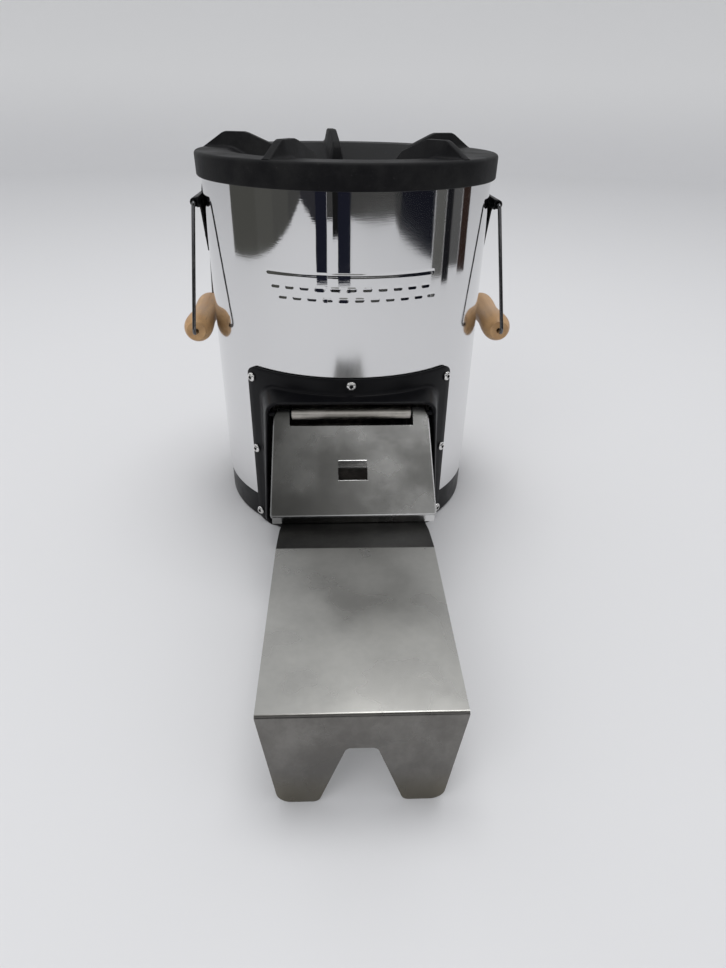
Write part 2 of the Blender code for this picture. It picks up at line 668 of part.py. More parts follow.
# ---------------------------------------------------------------- assembly
def build():
    for thing in list(bpy.data.objects):
        bpy.data.objects.remove(thing)
    polished = material("polished_steel", (0.62, 0.62, 0.62), 0.12, 1.0)
    brushed = material("brushed_steel", (0.50, 0.50, 0.48), 0.35, 1.0)
    black = material("black_enamel", (0.035, 0.035, 0.04), 0.45, 0.0)
    iron = material("cast_iron", (0.06, 0.06, 0.065), 0.6, 0.3)
    bright = material("bright_steel", (0.80, 0.80, 0.78), 0.18, 1.0)
    scale = material("heat_scaled_steel", (0.10, 0.095, 0.09), 0.6, 0.8)
    fibre = material("ceramic_fibre", (0.78, 0.76, 0.70), 0.9, 0.0)
    wire = material("black_wire", (0.03, 0.03, 0.03), 0.4, 0.6)
    wood = material("beech", (0.52, 0.34, 0.18), 0.45, 0.0)

    screw_holes = radial_holes("cutter_bezel_screws", BEZEL_SCREWS.values(), 1.95)
    rivet_holes = radial_holes("cutter_bracket_rivets", BRACKET_RIVETS.values(), 1.95)
    casting_holes = casting_screw_holes()
    axle_room = add_cutter("cutter_axle", rod("X", (HINGE_Y, HINGE_Z), HINGE_PIN_RADIUS + GAP, -67.4, 67.4, 20))

    base_pan(black, screw_holes)
    shell = outer_shell(polished, screw_holes)
    cut(shell, rivet_holes)
    chimney_tube(scale)
    feed_tunnel(scale)
    upper_insulation(fibre)
    lower_insulation(fibre)
    top_collar(scale, casting_holes)
    pot_support_casting(iron, casting_holes)
    front_bezel(black, screw_holes, axle_room)
    for name, (angle, height) in BEZEL_SCREWS.items():
        radial_fastener(name, angle, height, FLANGE_RADIUS + GAP, 3.8, 1.7, 1.3, bright)
    for name, (angle, height) in BRACKET_RIVETS.items():
        radial_fastener(name, angle, height, BODY_RADIUS + 2.2, 3.0, 1.1, 0.5, black)
    for index, angle in enumerate(CASTING_SCREW_ANGLES, 1):
        casting_screw(index, angle, black)

    hinge_pin(black)
    hinge_tube(bright)
    door(brushed, axle_room)
    fuel_shelf(brushed)
    for label, side in (("left", -1.0), ("right", 1.0)):
        handle_bracket(f"{label}_bracket", side, black)
        wire_bail(f"{label}_bail", side, wire)
        turned_grip(f"{label}_grip", side, wood)


build()
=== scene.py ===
"""Looks of the wood-burning rocket stove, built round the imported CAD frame. Shapes are in millimetres."""
import json
import math

import bmesh  # noqa: E402
import bpy  # noqa: E402
from mathutils import Matrix, Vector, noise  # noqa: E402


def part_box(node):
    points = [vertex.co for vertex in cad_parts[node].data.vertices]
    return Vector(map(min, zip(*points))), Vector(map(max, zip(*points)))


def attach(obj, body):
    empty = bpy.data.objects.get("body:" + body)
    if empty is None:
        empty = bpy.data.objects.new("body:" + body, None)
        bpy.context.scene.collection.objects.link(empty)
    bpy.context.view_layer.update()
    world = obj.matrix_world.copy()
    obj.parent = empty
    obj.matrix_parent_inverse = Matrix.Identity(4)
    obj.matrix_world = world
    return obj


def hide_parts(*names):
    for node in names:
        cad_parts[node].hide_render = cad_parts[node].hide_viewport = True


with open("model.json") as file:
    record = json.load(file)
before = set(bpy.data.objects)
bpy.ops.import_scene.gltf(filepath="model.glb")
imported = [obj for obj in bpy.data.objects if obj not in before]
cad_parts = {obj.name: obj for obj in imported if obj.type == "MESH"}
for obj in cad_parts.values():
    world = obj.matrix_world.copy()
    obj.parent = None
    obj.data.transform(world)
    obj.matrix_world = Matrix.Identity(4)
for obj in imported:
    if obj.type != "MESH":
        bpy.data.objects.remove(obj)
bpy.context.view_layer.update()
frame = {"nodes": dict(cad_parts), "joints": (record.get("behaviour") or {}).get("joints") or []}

MM = 0.001
JOINTS = {joint["name"]: joint for joint in frame["joints"]}


def box_mm(node):
    low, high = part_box(node)
    return low / MM, high / MM


def joint_at(name):
    return Vector(JOINTS[name]["pos_m"]) / MM


shell_low, shell_high = box_mm("outer_shell")
bezel_low, bezel_high = box_mm("front_bezel")
pan_high = box_mm("base_pan")[1]
cast_high = box_mm("pot_support_casting")[1]
shelf_high = box_mm("fuel_shelf")[1]
tube_high = box_mm("hinge_tube")[1]
pin_high = box_mm("hinge_pin")[1]

BODY_RADIUS = shell_high.x
SHELL_WALL = 1.2
RIB_TOP = cast_high.z
RING_RADIUS = cast_high.x
RING_TOP = RIB_TOP - 11.3
RING_BOTTOM = RING_TOP - 17.5
RIB_COUNT = 5
RIB_FIRST_ANGLE = -118.7
HINGE = joint_at("door_swing")
FINE = 192


# ---------------------------------------------------------------- drawing helpers
def add_piece(name, bm, finish, body, replaces=(), sharp=32.0, modifiers=(), fix_normals=True):
    """Turn a bmesh drawn in millimetres into a shown piece that rides on a CAD body."""
    if fix_normals:
        bmesh.ops.recalc_face_normals(bm, faces=bm.faces)
    bmesh.ops.scale(bm, verts=bm.verts, vec=(MM, MM, MM))
    mesh = bpy.data.meshes.new(name)
    bm.to_mesh(mesh)
    bm.free()
    thing = bpy.data.objects.new(name, mesh)
    bpy.context.scene.collection.objects.link(thing)
    for kind, settings in modifiers:
        modifier = thing.modifiers.new(kind.lower(), kind)
        for key, value in settings.items():
            setattr(modifier, key, value)
    if modifiers:
        bpy.context.view_layer.update()
        settled = bpy.data.meshes.new_from_object(thing.evaluated_get(bpy.context.evaluated_depsgraph_get()))
        settled.name = name
        thing.modifiers.clear()
        thing.data = settled
    thing.data.materials.clear()
    thing.data.materials.append(finish)
    thing.data.shade_smooth()
    thing.data.set_sharp_from_angle(angle=math.radians(sharp))
    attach(thing, body)
    if replaces:
        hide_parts(*replaces)
    return thing


def loose_object(name, bm):
    """A helper for boolean modifiers; remove it after use."""
    bmesh.ops.recalc_face_normals(bm, faces=bm.faces)
    bmesh.ops.scale(bm, verts=bm.verts, vec=(MM, MM, MM))
    mesh = bpy.data.meshes.new(name)
    bm.to_mesh(mesh)
    bm.free()
    thing = bpy.data.objects.new(name, mesh)
    bpy.context.scene.collection.objects.link(thing)
    return thing


def boolean(cutter, operation="DIFFERENCE"):
    return ("BOOLEAN", {"object": cutter, "operation": operation, "solver": "MANIFOLD"})


def bevel(width, segments=2, angle=30.0):
    return ("BEVEL", {"width": width * MM, "segments": segments, "limit_method": "ANGLE",
                      "angle_limit": math.radians(angle), "harden_normals": False})


def sheet_wall(thickness):
    return ("SOLIDIFY", {"thickness": thickness * MM, "offset": -1.0, "use_even_offset": True})


def skin_rings(bm, rings, close=False):
    """Join rings of equal length with quads. A ring of one vertex becomes a fan."""
    pairs = list(zip(rings, rings[1:]))
    if close:
        pairs.append((rings[-1], rings[0]))
    for low, high in pairs:
        count = max(len(low), len(high))
        for i in range(count):
            j = (i + 1) % count
            corners = [low[i % len(low)], low[j % len(low)], high[j % len(high)], high[i % len(high)]]
            corners = list(dict.fromkeys(corners))
            if len(corners) > 2:
                bm.faces.new(corners)


def turned(profile, segments=FINE, wobble=None, bm=None):
    """Spin a closed (radius, height) outline about Z. `wobble` may change a radius from (angle, index)."""
    bm = bm or bmesh.new()
    rings = []
    for index, (radius, height) in enumerate(profile):
        if radius < 0.001:
            rings.append([bm.verts.new((0.0, 0.0, height))])
            continue
        ring = []
        for i in range(segments):
            angle = 2.0 * math.pi * i / segments
            r = radius if wobble is None else wobble(radius, angle, index)
            ring.append(bm.verts.new((r * math.cos(angle), r * math.sin(angle), height)))
        rings.append(ring)
    skin_rings(bm, rings, close=True)
    return bm


def axis_point(axis, u, v, w):
    return {"X": (w, u, v), "Y": (u, w, v), "Z": (u, v, w)}[axis]


def prism(outline, axis, low, high, bm=None):
    """Extrude a closed outline along an axis."""
    bm = bm or bmesh.new()
    bottom = [bm.verts.new(axis_point(axis, u, v, low)) for u, v in outline]
    top = [bm.verts.new(axis_point(axis, u, v, high)) for u, v in outline]
    bm.faces.new(bottom)
    bm.faces.new(top)
    skin_rings(bm, [bottom, top])
    return bm


def circle(centre, radius, segments=32, start=0.0, sweep=360.0):
    """Points along a circle or an arc, in degrees. An arc includes its end."""
    count = segments + 1 if abs(sweep) < 360.0 else segments
    points = []
    for i in range(count):
        angle = math.radians(start + sweep * i / segments)
        points.append((centre[0] + radius * math.cos(angle), centre[1] + radius * math.sin(angle)))
    return points


def rounded(points, radii, closed=False, steps=8):
    """Replace the corners of a polyline by arcs. A radius of 0 keeps the corner."""
    result = []
    last = len(points) - 1
    for i, (point, radius) in enumerate(zip(points, radii)):
        if radius <= 0.0 or (not closed and i in (0, last)):
            result.append(point)
            continue
        here = Vector(point)
        before = (Vector(points[i - 1]) - here).normalized()
        after = (Vector(points[(i + 1) % len(points)]) - here).normalized()
        half = before.angle(after) / 2.0
        centre = here + (before + after).normalized() * (radius / math.sin(half))
        first = here + before * (radius / math.tan(half)) - centre
        turn = first.angle_signed(here + after * (radius / math.tan(half)) - centre)
        for k in range(steps + 1):
            spoke = first.copy()
            spoke.rotate(Matrix.Rotation(-turn * k / steps, 2))
            result.append(tuple(centre + spoke))
    return result


def offset_path(path, distance):
    """The same open path moved to its right by a distance, with mitred corners."""
    moved = []
    for i, point in enumerate(path):
        here = Vector(point)
        normals = []
        if i > 0:
            step = (here - Vector(path[i - 1])).normalized()
            normals.append(Vector((step.y, -step.x)))
        if i < len(path) - 1:
            step = (Vector(path[i + 1]) - here).normalized()
            normals.append(Vector((step.y, -step.x)))
        normal = sum(normals, Vector((0.0, 0.0))).normalized()
        moved.append(tuple(here + normal * (distance / normal.dot(normals[0]))))
    return moved


def between(points, at):
    """Height of a polyline given as (position, height) pairs in rising order."""
    if at <= points[0][0]:
        return points[0][1]
    for (a, low), (b, high) in zip(points, points[1:]):
        if at <= b:
            return low + (high - low) * (at - a) / (b - a)
    return points[-1][1]


def smooth_step(low, high, value):
    t = min(1.0, max(0.0, (value - low) / (high - low)))
    return t * t * (3.0 - 2.0 * t)


# ---------------------------------------------------------------- materials
class Finish:
    """A Principled material with a few procedural layers in the piece's own coordinates."""

    def __init__(self, name, colour, roughness, metallic=0.0, **sockets):
        self.material = bpy.data.materials.new(name)
        self.material.use_nodes = True
        self.tree = self.material.node_tree
        self.shader = self.tree.nodes["Principled BSDF"]
        self.set("Base Color", (*colour, 1.0))
        self.set("Roughness", roughness)
        self.set("Metallic", metallic)
        for key, value in sockets.items():
            self.set(key.replace("_", " ").capitalize() if key not in ("IOR",) else key, value)
        self.place = self.tree.nodes.new("ShaderNodeTexCoord").outputs["Object"]
        self.heights = []

    def set(self, socket, value):
        names = {s.name.lower(): s for s in self.shader.inputs}
        names[socket.lower()].default_value = value

    def node(self, kind, **values):
        made = self.tree.nodes.new(kind)
        for key, value in values.items():
            if key in made.inputs:
                made.inputs[key].default_value = value
            else:
                setattr(made, key, value)
        return made

    def link(self, source, target):
        self.tree.links.new(source, target)

    def stretched(self, scale, turn=(0.0, 0.0, 0.0)):
        mapping = self.node("ShaderNodeMapping")
        mapping.inputs["Scale"].default_value = scale
        mapping.inputs["Rotation"].default_value = turn
        self.link(self.place, mapping.inputs["Vector"])
        return mapping.outputs["Vector"]

    def noise(self, scale, detail=3.0, rough=0.55, stretch=(1.0, 1.0, 1.0), distortion=0.0):
        made = self.node("ShaderNodeTexNoise")
        made.inputs["Scale"].default_value = scale
        made.inputs["Detail"].default_value = detail
        made.inputs["Roughness"].default_value = rough
        made.inputs["Distortion"].default_value = distortion
        self.link(self.stretched(stretch), made.inputs["Vector"])
        return made.outputs["Fac"]

    def ramp(self, value, low, high, dark, light):
        """Map value from low..high to dark..light, as a number."""
        made = self.node("ShaderNodeMapRange")
        made.interpolation_type = "SMOOTHSTEP"
        for key, number in (("From Min", low), ("From Max", high), ("To Min", dark), ("To Max", light)):
            made.inputs[key].default_value = number
        self.link(value, made.inputs["Value"])
        return made.outputs["Result"]

    def mix(self, factor, first, second, blend="MIX"):
        made = self.node("ShaderNodeMix")
        made.data_type = "RGBA"
        made.blend_type = blend
        sockets = (made.inputs["Factor"], made.inputs[6], made.inputs[7])
        for value, socket in zip((factor, first, second), sockets):
            if isinstance(value, bpy.types.NodeSocket):
                self.link(value, socket)
            elif isinstance(value, tuple):
                socket.default_value = (*value, 1.0)
            else:
                socket.default_value = value
        return made.outputs[2]

    def math(self, operation, first, second):
        made = self.node("ShaderNodeMath")
        made.operation = operation
        for value, socket in ((first, made.inputs[0]), (second, made.inputs[1])):
            if isinstance(value, bpy.types.NodeSocket):
                self.link(value, socket)
            else:
                socket.default_value = value
        return made.outputs[0]

    def colour(self, socket):
        self.link(socket, self.shader.inputs["Base Color"])

    def roughness(self, socket):
        self.link(socket, self.shader.inputs["Roughness"])

    def bump(self, height, distance, strength=1.0):
        """Stack a bump layer; distance is in millimetres."""
        made = self.node("ShaderNodeBump")
        made.inputs["Strength"].default_value = strength
        made.inputs["Distance"].default_value = distance * MM
        self.link(height, made.inputs["Height"])
        if self.heights:
            self.link(self.heights[-1], made.inputs["Normal"])
        self.heights.append(made.outputs["Normal"])
        self.link(made.outputs["Normal"], self.shader.inputs["Normal"])


def polished_steel():
    finish = Finish("polished_steel", (0.73, 0.73, 0.735), 0.04, 1.0)
    smear = finish.noise(11.0, 4.0, 0.6, (1.0, 1.0, 0.3))
    split = finish.node("ShaderNodeSeparateXYZ")
    finish.link(finish.place, split.inputs[0])
    dulled = finish.ramp(split.outputs[2], 0.15, 0.21, 0.12, 0.0)
    finish.roughness(finish.math("ADD", finish.ramp(smear, 0.40, 0.72, 0.025, 0.09), dulled))
    finish.bump(finish.noise(60.0, 2.0, 0.5, (1.0, 1.0, 22.0)), 0.009, 0.5)
    finish.bump(finish.noise(110.0, 3.0, 0.6, (1.0, 1.0, 0.07)), 0.05, 0.5)
    return finish.material


def satin_steel(name, tone, low, high, contrast):
    """Satin sheet with soft cloudy mottling of the given contrast."""
    finish = Finish(name, tone, 0.34, 1.0)
    cloud = finish.noise(30.0, 3.0, 0.5)
    fine = finish.noise(230.0, 2.0, 0.5)
    worn = finish.mix(finish.ramp(cloud, 0.30, 0.70, 0.0, 1.0), tuple(c * (1.0 - contrast) for c in tone),
                      tuple(min(1.0, c * (1.0 + contrast)) for c in tone))
    finish.tone = finish.mix(finish.ramp(fine, 0.35, 0.65, 0.0, 0.12), worn, tuple(c * 0.72 for c in tone))
    finish.cloud = cloud
    finish.colour(finish.tone)
    finish.roughness(finish.ramp(cloud, 0.3, 0.7, low, high))
    return finish


def door_steel():
    """Satin sheet whose colour darkens towards one side, its left."""
    finish = satin_steel("door_steel", (0.70, 0.698, 0.69), 0.2, 0.29, 0.12)
    split = finish.node("ShaderNodeSeparateXYZ")
    finish.link(finish.place, split.inputs[0])
    # The colour darkens towards the left side (negative x) of the door.
    toward_left = finish.ramp(split.outputs[0], -0.06, 0.03, 1.0, 0.0)
    left_darkening = finish.mix(toward_left, (1.0, 1.0, 1.0), (0.36, 0.36, 0.355))
    finish.colour(finish.mix(1.0, finish.tone, left_darkening, "MULTIPLY"))
    return finish.material


def roller_steel():
    """Drawn tube, duller and a little warmer than the sheet."""
    finish = Finish("roller_steel", (0.66, 0.63, 0.58), 0.4, 1.0)
    tint = finish.noise(90.0, 3.0, 0.5)
    finish.colour(finish.mix(finish.ramp(tint, 0.35, 0.7, 0.0, 1.0), (0.58, 0.55, 0.50), (0.74, 0.70, 0.65)))
    finish.roughness(finish.ramp(tint, 0.35, 0.7, 0.34, 0.46))
    return finish.material


def shelf_steel(yaw, front, bend):
    """Satin sheet brushed along the shelf; the front face is painted darker as shade, with scuff mottling, and the
    tongue past the bend is painted near-black as the shadow under the door and the reflection of the dark tunnel.
    """
    finish = satin_steel("shelf_steel", (0.43, 0.426, 0.405), 0.26, 0.32, 0.04)
    finish.bump(finish.noise(70.0, 3.0, 0.6, (14.0, 0.4, 14.0)), 0.01, 0.4)
    split = finish.node("ShaderNodeSeparateXYZ")
    finish.link(finish.stretched((1.0, 1.0, 1.0), (0.0, 0.0, -yaw)), split.inputs[0])
    along, height = split.outputs[1], split.outputs[2]
    # Painted shade: the front face is coloured darker than the top, mottled by scuffs, and darker and browner still
    # towards the floor.
    face = finish.ramp(along, (front + 0.9) * MM, (front + 2.2) * MM, 1.0, 0.0)
    scuffs = finish.noise(30.0, 6.0, 0.7, (1.0, 1.0, 0.7))
    front_shade_and_scuffs = finish.mix(finish.ramp(scuffs, 0.35, 0.7, 0.0, 1.0), (0.15, 0.144, 0.135), (0.225, 0.218, 0.205))
    foot = finish.ramp(height, 0.004, 0.030, 0.8, 0.0)
    front_shade_and_scuffs = finish.mix(foot, front_shade_and_scuffs, (0.17, 0.155, 0.12))
    front_shaded = finish.mix(face, finish.tone, front_shade_and_scuffs)
    # Painted shadow and reflection: past the bend the tongue is coloured near-black, mottled, for the shadow under
    # the door and the dark tunnel it reflects.
    dark_mottle = finish.noise(60.0, 5.0, 0.7)
    black = finish.mix(finish.ramp(dark_mottle, 0.35, 0.7, 0.0, 1.0), (0.012, 0.0115, 0.011), (0.030, 0.029, 0.027))
    tongue = finish.ramp(along, (bend - 1.2) * MM, (bend + 0.4) * MM, 0.0, 1.0)
    finish.colour(finish.mix(tongue, front_shaded, black))
    rough = finish.math("MULTIPLY", tongue, 0.22)
    finish.roughness(finish.math("ADD", finish.ramp(finish.cloud, 0.3, 0.7, 0.26, 0.32), rough))
    return finish.material


def black_enamel():
    finish = Finish("black_enamel", (0.006, 0.006, 0.007), 0.36, 0.0, specular_ior_level=0.13)
    peel = finish.noise(900.0, 2.0, 0.5)
    finish.bump(peel, 0.02, 0.35)
    dust = finish.noise(48.0, 5.0, 0.7)
    finish.roughness(finish.ramp(dust, 0.35, 0.75, 0.28, 0.46))
    dusty = finish.ramp(dust, 0.5, 0.8, 0.0, 1.0)
    finish.colour(finish.mix(dusty, (0.004, 0.004, 0.005), (0.009, 0.009, 0.010)))
    return finish.material


def cast_iron():
    finish = Finish("cast_iron", (0.012, 0.012, 0.013), 0.55, 0.0, specular_ior_level=0.09)
    pits = finish.noise(650.0, 4.0, 0.65)
    cloud = finish.noise(34.0, 5.0, 0.65)
    finish.bump(pits, 0.16, 0.75)
    finish.bump(finish.noise(95.0, 3.0, 0.5), 0.25, 0.4)
    finish.roughness(finish.ramp(cloud, 0.3, 0.75, 0.46, 0.66))
    tint = finish.mix(finish.ramp(cloud, 0.35, 0.75, 0.0, 1.0), (0.006, 0.006, 0.007), (0.017, 0.017, 0.017))
    finish.colour(finish.mix(finish.ramp(pits, 0.62, 0.75, 0.0, 0.5), tint, (0.05, 0.049, 0.047)))
    return finish.material


def sooty_steel():
    finish = Finish("sooty_steel", (0.05, 0.047, 0.043), 0.7, 0.4)
    dark_mottle = finish.noise(40.0, 6.0, 0.7)
    sooty = finish.ramp(dark_mottle, 0.35, 0.7, 0.0, 1.0)
    finish.colour(finish.mix(sooty, (0.012, 0.011, 0.010), (0.085, 0.075, 0.066)))
    finish.roughness(finish.ramp(dark_mottle, 0.3, 0.7, 0.85, 0.5))
    finish.bump(finish.noise(500.0, 4.0, 0.7), 0.08, 0.6)
    return finish.material


def ceramic_fibre():
    finish = Finish("ceramic_fibre", (0.78, 0.76, 0.70), 0.95)
    lint = finish.noise(260.0, 6.0, 0.75, (1.0, 1.0, 2.5), 1.2)
    finish.colour(finish.mix(finish.ramp(lint, 0.35, 0.65, 0.0, 1.0), (0.62, 0.59, 0.52), (0.84, 0.82, 0.77)))
    finish.bump(lint, 0.5, 0.8)
    return finish.material


def bright_zinc():
    finish = Finish("bright_zinc", (0.86, 0.85, 0.83), 0.2, 1.0)
    tint = finish.noise(90.0, 4.0, 0.6)
    finish.colour(finish.mix(finish.ramp(tint, 0.4, 0.7, 0.0, 1.0), (0.80, 0.79, 0.78), (0.92, 0.91, 0.88)))
    finish.roughness(finish.ramp(tint, 0.35, 0.7, 0.14, 0.3))
    finish.bump(finish.noise(700.0, 2.0, 0.5, (0.15, 1.0, 1.0)), 0.01, 0.5)
    return finish.material


def black_wire():
    finish = Finish("black_wire", (0.16, 0.16, 0.165), 0.22, 1.0)
    worn = finish.noise(120.0, 4.0, 0.6)
    rubbed = finish.ramp(worn, 0.5, 0.72, 0.0, 1.0)
    finish.colour(finish.mix(rubbed, (0.13, 0.13, 0.135), (0.26, 0.255, 0.25)))
    finish.bump(finish.noise(900.0, 2.0, 0.5), 0.015, 0.4)
    return finish.material


def beech():
    """Turned beech: pale brown, grain along the grip, fine dark rays and faint turning rings."""
    finish = Finish("beech", (0.46, 0.29, 0.15), 0.5, 0.0, coat_weight=0.12, coat_roughness=0.3)
    rings = finish.noise(110.0, 3.0, 0.5, (1.0, 0.09, 1.0), 0.6)
    rays = finish.noise(900.0, 2.0, 0.5, (1.0, 0.05, 1.0))
    turning = finish.noise(150.0, 1.0, 0.4, (0.03, 1.0, 0.03))
    base = finish.mix(finish.ramp(rings, 0.32, 0.68, 0.0, 1.0), (0.43, 0.235, 0.095), (0.62, 0.375, 0.17))
    lined = finish.mix(finish.ramp(rays, 0.6, 0.72, 0.0, 0.55), base, (0.24, 0.135, 0.065))
    finish.colour(finish.mix(finish.ramp(turning, 0.35, 0.65, 0.0, 0.3), lined, (0.40, 0.25, 0.13)))
    finish.roughness(finish.ramp(rings, 0.3, 0.7, 0.42, 0.58))
    finish.bump(rays, 0.05, 0.5)
    finish.bump(turning, 0.12, 0.4)
    return finish.material


# ---------------------------------------------------------------- body
BAND_LOW, BAND_HIGH = 204.0, 232.0
BAND_HALF = 70.0
PRESS_DEPTH = 0.32


def slot_shape(u, z, centre_u, centre_z, half_u, half_z):
    """Distance outside a rounded bar, shortened below it, where the pressed wall slopes more gently."""
    du = max(0.0, abs(u - centre_u) - half_u)
    rise = z - centre_z
    dz = max(0.0, rise - half_z) + 0.4 * max(0.0, -rise - half_z)
    return math.hypot(du, dz)


def press_marks():
    """Generic pressed ornament: one long line over two staggered rows of short dashes."""
    marks = [(0.0, BAND_HIGH - 2.0, BAND_HALF - 6.0, 0.0)]
    for row, height in enumerate((BAND_HIGH - 11.5, BAND_HIGH - 19.0)):
        for i in range(-5, 6):
            marks.append(((i + 0.5 * (row % 2)) * 11.6, height, 2.6, 0.0))
    return marks


MARKS = press_marks()


def pressed(u, z):
    """How far the sheet is pressed in at an arc position u and height z."""
    if abs(u) > BAND_HALF + 3.0 or not BAND_LOW - 3.0 < z < BAND_HIGH + 3.0:
        return 0.0
    depth = 0.0
    for centre_u, centre_z, half_u, half_z in MARKS:
        gap = slot_shape(u, z, centre_u, centre_z, half_u, half_z)
        depth = max(depth, PRESS_DEPTH * (1.0 - smooth_step(0.2, 1.0, gap)))
    return depth


def outer_shell(finish):
    """Rolled polished tube: slightly wavy, with the pressed band in front and a lock seam at the back."""
    foot, top = shell_low.z, shell_high.z
    gate_half = math.degrees(math.asin(71.0 / BODY_RADIUS))
    gate_top = bezel_high.z - 15.5
    heights = sorted({foot, gate_top, top, *[foot + i * 9.0 for i in range(31) if foot + i * 9.0 < top - 2.0],
                      *[BAND_LOW - 2.0 + 0.5 * i for i in range(65)]})
    front = [-36.0 + 0.25 * i for i in range(289)]
    angles = sorted({-gate_half, gate_half, *front, *[36.0 + 2.0 * i for i in range(1, 144)]})
    bm = bmesh.new()
    grid = []
    for angle in angles:
        a = math.radians(angle)
        column = []
        for z in heights:
            wave = noise.noise(Vector((math.sin(a) * 1.6, math.cos(a) * 1.6, z / 140.0))) * 0.10
            radius = BODY_RADIUS - 0.05 + min(wave, 0.05) - pressed(math.radians(angle) * BODY_RADIUS, z)
            column.append(bm.verts.new((radius * math.sin(a), -radius * math.cos(a), z)))
        grid.append(column)
    for i, column in enumerate(grid):
        following = grid[(i + 1) % len(grid)]
        middle = (angles[i] + (angles[i + 1] if i + 1 < len(angles) else 360.0 - 36.0)) / 2.0
        for j in range(len(heights) - 1):
            in_gate = abs(middle) < gate_half and heights[j + 1] <= gate_top + 0.01
            if not in_gate:
                bm.faces.new([column[j], following[j], following[j + 1], column[j + 1]])
    add_piece("shell_sheet", bm, finish, "stove", ["outer_shell"], 50.0,
              [sheet_wall(SHELL_WALL)], fix_normals=False)
    seam = rounded([(0.0, 0.0), (7.0, 0.0), (7.0, 0.7), (0.0, 0.7)], [0.3] * 4, closed=True, steps=3)
    bm = prism([(u - 3.5, BODY_RADIUS - 0.15 + v) for u, v in seam], "Z", foot + 0.5, RING_BOTTOM - 0.6)
    add_piece("shell_seam", bm, finish, "stove")


def base_pan(finish):
    """Black pan with a rounded foot and a rolled upper edge."""
    radius, top = pan_high.x, 26.0
    inner = radius - 1.9
    profile = [(0.0, 0.4), (radius - 6.0, 0.4), (radius - 4.2, 0.0), (radius - 1.8, 0.0), (radius - 0.7, 0.4),
               (radius - 0.1, 1.6), (radius - 0.1, 3.0), (radius - 0.1, top - 2.2), (radius, top - 1.6),
               (radius, top - 0.5), (radius - 0.4, top), (inner, top), (inner, 1.9), (0.0, 1.9)]
    add_piece("base_pan_pressed", turned(profile), finish, "stove", ["base_pan"], 40.0)


# ---------------------------------------------------------------- pot support casting
DISH = [(51.0, 281.0), (51.8, 283.2), (54.0, 284.6), (60.0, 287.0), (88.0, 299.0), (92.5, 301.2), (96.0, 302.0),
        (121.0, 302.0)]
RIB_CREST = [(53.2, 284.0), (53.7, 291.0), (54.6, 296.5), (56.2, 300.0), (60.5, 304.4), (81.0, 312.4), (84.5, 313.3),
             (100.5, 313.3), (103.4, 312.3), (119.4, 302.3)]


def pot_rib(angle):
    """One cast rib: drafted sides, rounded top edges and a fillet at its foot."""
    stations = sorted({r for r, _ in RIB_CREST} | {56.0 + 3.0 * i for i in range(22)} | {54.0, 55.2, 58.0, 82.5})
    bm = bmesh.new()
    rings = []
    for radius in stations:
        top = between(RIB_CREST, radius)
        foot = between(DISH, radius)
        rise = max(0.3, top - foot)
        fillet = min(2.2, rise * 0.6)
        section = []
        for drop, grow in ((0.0, -1.0), (0.22, -0.35), (0.8, 0.0)):
            drop = min(drop, rise)
            section.append((3.1 + 0.24 * drop + grow, top - drop))
        for share, spread in ((1.0, 0.0), (0.5, 0.22), (0.2, 0.6), (0.0, 1.0)):
            height = foot + fillet * share
            section.append((3.1 + 0.24 * (top - height) + fillet * spread * 0.9, min(height, top - 0.1)))
        section.append((3.1 + 0.24 * rise + fillet * 0.9, foot - 1.4))
        ring = [bm.verts.new((radius, s, z)) for s, z in section]
        ring += [bm.verts.new((radius, -s, z)) for s, z in reversed(section)]
        rings.append(ring)
    skin_rings(bm, rings)
    bm.faces.new(rings[0])
    bm.faces.new(rings[-1])
    bmesh.ops.rotate(bm, verts=bm.verts, cent=(0, 0, 0), matrix=Matrix.Rotation(math.radians(angle), 3, "Z"))
    return bm


def pot_support_casting(finish):
    skirt = BODY_RADIUS + 0.7
    rim_edge = circle((RING_RADIUS - 2.6, RING_TOP - 2.6), 2.6, 6, 0.0, 90.0)
    foot_edge = circle((RING_RADIUS - 1.4, RING_BOTTOM + 1.2), 1.2, 4, -90.0, 90.0)
    dish = rounded([(100.0, RING_TOP), (95.5, RING_TOP), (88.0, 299.0), (58.0, 286.2), (52.5, 284.0), (51.0, 278.0)],
                   [0.0, 4.0, 6.0, 6.0, 2.5, 0.0], steps=5)
    profile = [(skirt, RING_BOTTOM)] + foot_edge + rim_edge + dish
    profile += [(55.0, 278.0), (58.5, 281.0), (93.0, 296.6), (skirt - 1.5, 297.0), (skirt, 296.0)]
    ribs = [loose_object(f"rib_{i}", pot_rib(RIB_FIRST_ANGLE + i * 360.0 / RIB_COUNT)) for i in range(RIB_COUNT)]
    add_piece("pot_support_cast", turned(profile), finish, "stove", ["pot_support_casting"], 28.0,
              [boolean(rib, "UNION") for rib in ribs])
    for rib in ribs:
        bpy.data.objects.remove(rib)


# ---------------------------------------------------------------- front bezel
def frame_loop(half_top, half_bottom, low, high, corner, depth):
    """Closed loop of points round a frame, with a fixed point count. `depth` gives y from x."""
    corner_steps, long_steps, side_steps = 10, 44, 20
    corners = [(-half_bottom, low), (half_bottom, low), (half_top, high), (-half_top, high)]
    path = rounded(corners, [min(corner, 8.0), min(corner, 8.0), corner, corner], closed=True, steps=corner_steps)
    arcs = [path[i * (corner_steps + 1):(i + 1) * (corner_steps + 1)] for i in range(4)]
    loop = []
    for i, arc in enumerate(arcs):
        loop += arc
        start, end = Vector(arc[-1]), Vector(arcs[(i + 1) % 4][0])
        steps = long_steps if i % 2 == 0 else side_steps
        for k in range(1, steps):
            loop.append(tuple(start.lerp(end, k / steps)))
    return [(x, depth(x), z) for x, z in loop]


def on_body(radius):
    return lambda x: -math.sqrt(radius * radius - x * x)


def in_plane(y):
    return lambda x: y


